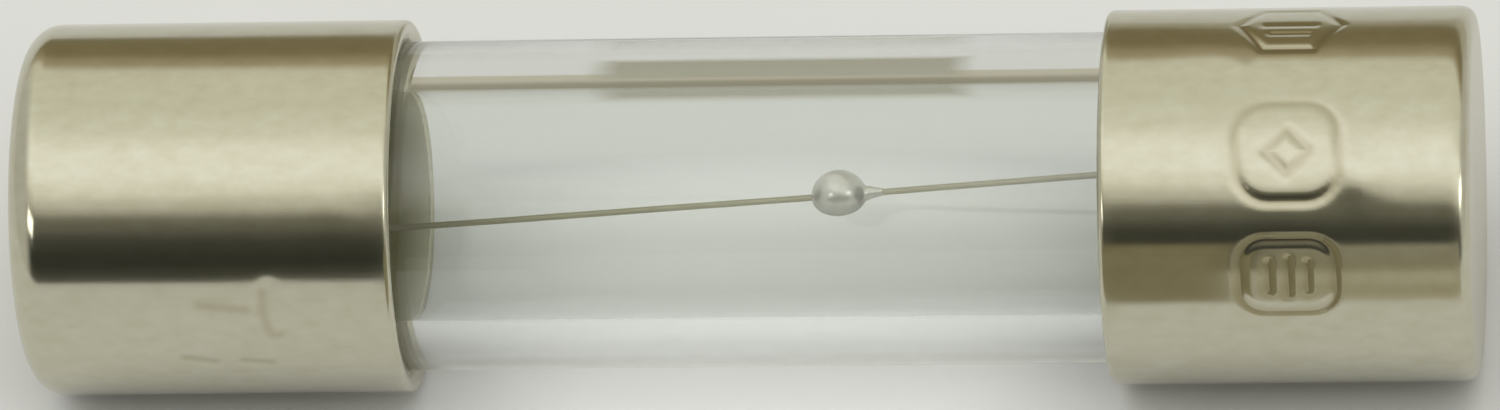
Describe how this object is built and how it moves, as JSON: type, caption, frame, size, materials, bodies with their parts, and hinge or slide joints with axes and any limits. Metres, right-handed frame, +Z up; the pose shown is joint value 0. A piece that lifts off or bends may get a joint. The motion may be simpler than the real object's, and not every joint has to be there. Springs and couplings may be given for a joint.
{
  "type": "cartridge fuse",
  "caption": "Miniature glass cartridge fuse: a clear tube between two round metal end caps, with a slanted fuse wire that carries a tin bead.",
  "frame": {"origin": "centre of the fuse, on its axis, halfway between the two end faces", "axes": "+X along the fuse's axis towards the right end cap, +Z up as the fuse lies, +Y away from the viewer"},
  "size_m": [0.02, 0.0052, 0.0052],
  "materials": {
    "nickel_plate": "bright nickel plate on drawn brass, lightly drawn lengthwise",
    "clear_glass": "clear drawn tube with melted edges",
    "solder": "dull soft solder",
    "fuse_wire": "silvered copper wire, slightly tarnished",
    "tin": "bright frozen tin"
  },
  "bodies": {
    "root": {"left_end_cap": "nickel_plate", "right_end_cap": "nickel_plate", "glass_tube": "clear_glass", "left_solder_joint": "solder", "right_solder_joint": "solder", "fuse_wire": "fuse_wire", "tin_bead": "tin"}
  },
  "joints": []
}
